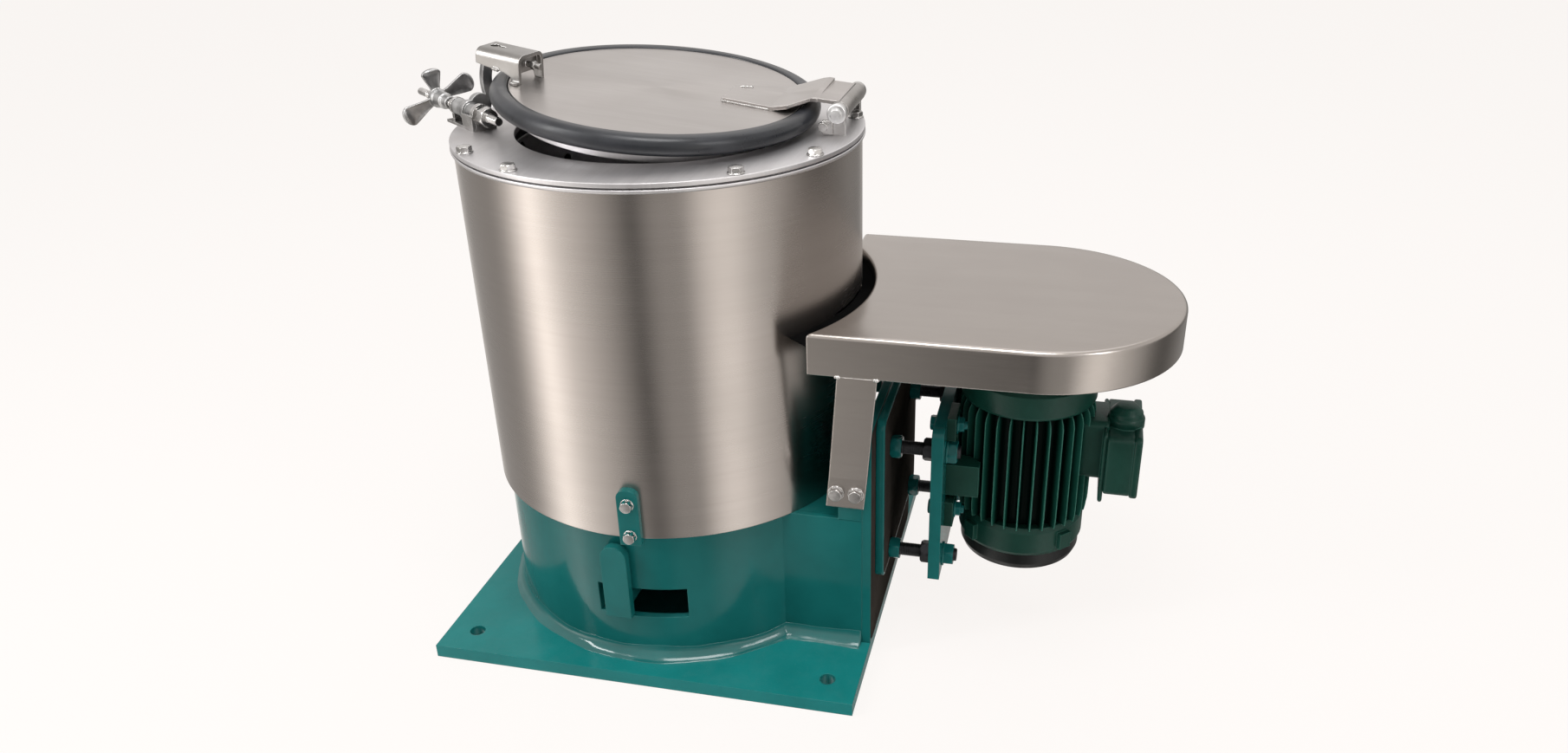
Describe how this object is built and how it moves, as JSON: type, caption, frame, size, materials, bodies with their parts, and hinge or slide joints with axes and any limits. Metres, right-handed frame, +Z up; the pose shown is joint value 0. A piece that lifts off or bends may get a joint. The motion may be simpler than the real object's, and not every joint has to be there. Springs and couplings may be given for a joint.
{
  "type": "basket centrifuge",
  "caption": "Basket centrifuge: hinged lid with rubber rim, stainless drum on a round base, vertical motor with guarded belt drive, screw latch and brake lever.",
  "frame": {"origin": "point where the drum's axis meets the underside of the base plate", "axes": "+Z up along the drum's axis, +X from the drum towards the motor, +Y to the back"},
  "size_m": [0.9064, 0.5, 0.6784],
  "materials": {
    "basket_steel": "brushed stainless sheet",
    "belt_rubber": "black belt rubber",
    "black_paint": "black paint",
    "bright_steel": "bright stainless fasteners",
    "cast_grey": "machined cast iron",
    "dark_steel": "oiled dark steel rod",
    "drum_steel": "brushed stainless sheet",
    "flange_steel": "brushed stainless sheet",
    "guard_steel": "brushed stainless sheet",
    "inner_green": "glossy teal enamel",
    "lid_steel": "brushed stainless sheet",
    "motor_green": "satin dark green paint",
    "painted_green": "glossy teal enamel",
    "rubber_rim": "moulded rubber",
    "shell_steel": "brushed stainless sheet",
    "wing_steel": "bright stainless fasteners"
  },
  "bodies": {
    "frame": {"base_plate": "painted_green", "base_housing": "painted_green", "base_top": "painted_green", "side_box": "painted_green", "end_plate": "painted_green", "motor_plate": "painted_green", "plate_studs": "dark_steel", "stud_nuts": "painted_green", "lock_nuts": "dark_steel", "motor_body": "motor_green", "motor_feet": "motor_green", "foot_bolts": "painted_green", "motor_lower_shield": "motor_green", "motor_upper_shield": "motor_green", "fan_cowl": "black_paint", "terminal_box": "motor_green", "motor_shaft": "bright_steel", "motor_pulley": "cast_grey", "drive_belt": "belt_rubber", "spindle_pulley": "cast_grey", "spindle": "bright_steel", "spindle_housing": "inner_green", "basket": "basket_steel", "drum_floor": "drum_steel", "drum_shell": "drum_steel", "top_flange": "flange_steel", "flange_bolts": "bright_steel", "clip_tab": "painted_green", "hinge_block": "shell_steel", "hinge_pin": "bright_steel", "latch_bracket": "shell_steel", "latch_screw": "bright_steel", "brake_post": "painted_green", "belt_guard": "guard_steel", "guard_leg": "shell_steel", "guard_bolts": "bright_steel"},
    "lid": {"lid_plate": "lid_steel", "lid_rim": "rubber_rim", "lid_spigot": "shell_steel", "hinge_strap": "shell_steel", "hinge_barrel": "shell_steel", "lid_catch": "shell_steel"},
    "latch_arm": {"latch_arm": "shell_steel"},
    "wing_nut": {"wing_nut": "wing_steel"},
    "brake_lever": {"brake_lever": "painted_green"}
  },
  "joints": [
    {"name": "lid_hinge", "type": "hinge", "parent": "frame", "child": "lid", "pos_m": [0.205, 0, 0.614], "axis": [0, 1, 0], "range_deg": [0, 100]},
    {"name": "latch_swing", "type": "hinge", "parent": "frame", "child": "latch_arm", "pos_m": [-0.2, -0.049, 0.606], "axis": [0.7986, -0.6018, 0], "range_deg": [0, 100]},
    {"name": "wing_nut_turn", "type": "hinge", "parent": "frame", "child": "wing_nut", "pos_m": [-0.2, -0.049, 0.606], "axis": [0.7986, -0.6018, 0], "continuous": true},
    {"name": "brake_lever_swing", "type": "hinge", "parent": "frame", "child": "brake_lever", "pos_m": [0, 0, 0.092], "axis": [0, 0, 1], "range_deg": [-4, 16]}
  ]
}
